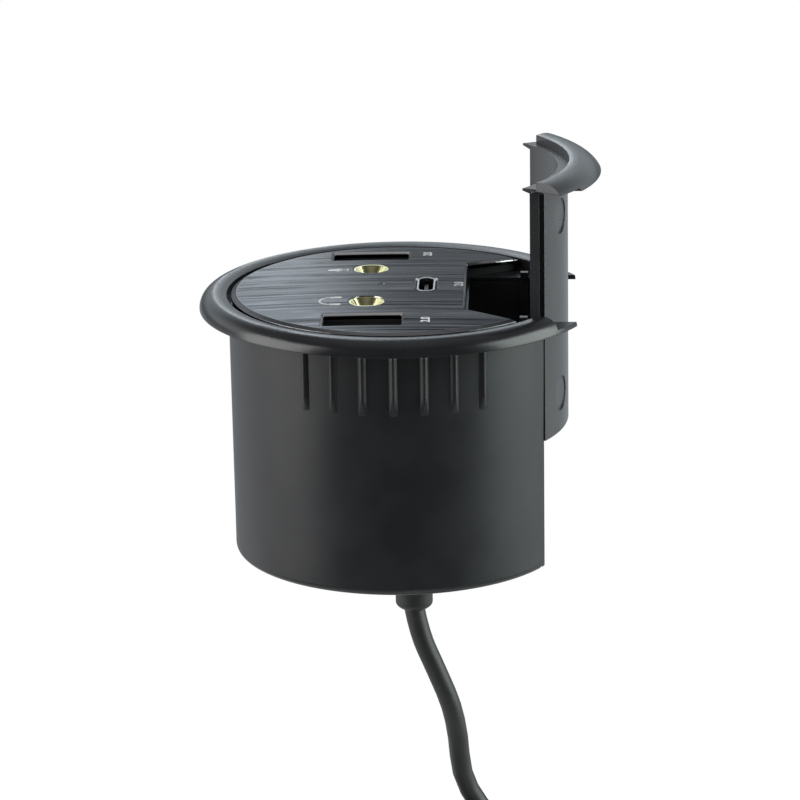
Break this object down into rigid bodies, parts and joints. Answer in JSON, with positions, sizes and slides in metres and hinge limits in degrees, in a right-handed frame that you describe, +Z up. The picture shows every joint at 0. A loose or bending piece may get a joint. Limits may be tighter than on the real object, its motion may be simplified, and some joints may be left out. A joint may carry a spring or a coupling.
{
  "type": "in-desk usb hub",
  "caption": "Round desk grommet with data and audio sockets under a crowned plate, a cable mouth with a gate that lifts, and a lead that hangs below.",
  "frame": {"origin": "on the hub's axis in the plane of the desk top, where the flange's underside rests", "axes": "+Z up out of the desk, +X from the axis towards the cable gate, and the USB-A sockets lie at -Y and +Y"},
  "size_m": [0.0725, 0.07, 0.2077],
  "materials": {
    "satin_black": "satin moulded ABS",
    "inner_black": "matt moulded plastic",
    "brushed_plate": "dark anodised, brushed along X, bright cut edges",
    "board_green": "solder mask",
    "black_rubber": "soft moulded PVC",
    "gilt": "gold plated",
    "bright_shell": "nickel plated",
    "clear_pipe": "clear acrylic",
    "tie_fabric": "hook and loop tape",
    "screw_steel": "zinc plated",
    "lamp_white": "white moulded plastic",
    "capacitor_tan": "ceramic",
    "chip_black": "matt epoxy"
  },
  "bodies": {
    "hub": {"housing": "satin_black", "face_plate": "brushed_plate", "port_carrier": "inner_black", "main_board": "board_green", "bottom_cover": "satin_black", "strain_relief": "black_rubber", "front_usb_a_shell": "bright_shell", "front_usb_a_tongue": "chip_black", "front_usb_a_contacts": "gilt", "rear_usb_a_shell": "bright_shell", "rear_usb_a_tongue": "chip_black", "rear_usb_a_contacts": "gilt", "headphone_jack_sleeve": "gilt", "headphone_jack_body": "chip_black", "microphone_jack_sleeve": "gilt", "microphone_jack_body": "chip_black", "usb_c_shell": "bright_shell", "usb_c_tongue": "chip_black", "inner_cable": "black_rubber", "cable_header": "lamp_white", "status_led": "lamp_white", "light_pipe": "clear_pipe", "hub_chip": "chip_black", "audio_chip": "chip_black", "regulator": "chip_black", "crystal": "screw_steel", "capacitors": "capacitor_tan", "board_screws": "screw_steel", "cover_screws": "screw_steel", "cable": "black_rubber", "cable_coil": "black_rubber", "coil_tie": "tie_fabric", "plug_overmould": "black_rubber", "plug_shell": "bright_shell", "plug_insert": "chip_black"},
    "gate": {"cable_gate": "satin_black"}
  },
  "joints": [
    {"name": "gate_slide", "type": "slide", "parent": "hub", "child": "gate", "axis": [0, 0, 1], "range_m": [-0.0235, 0]}
  ]
}
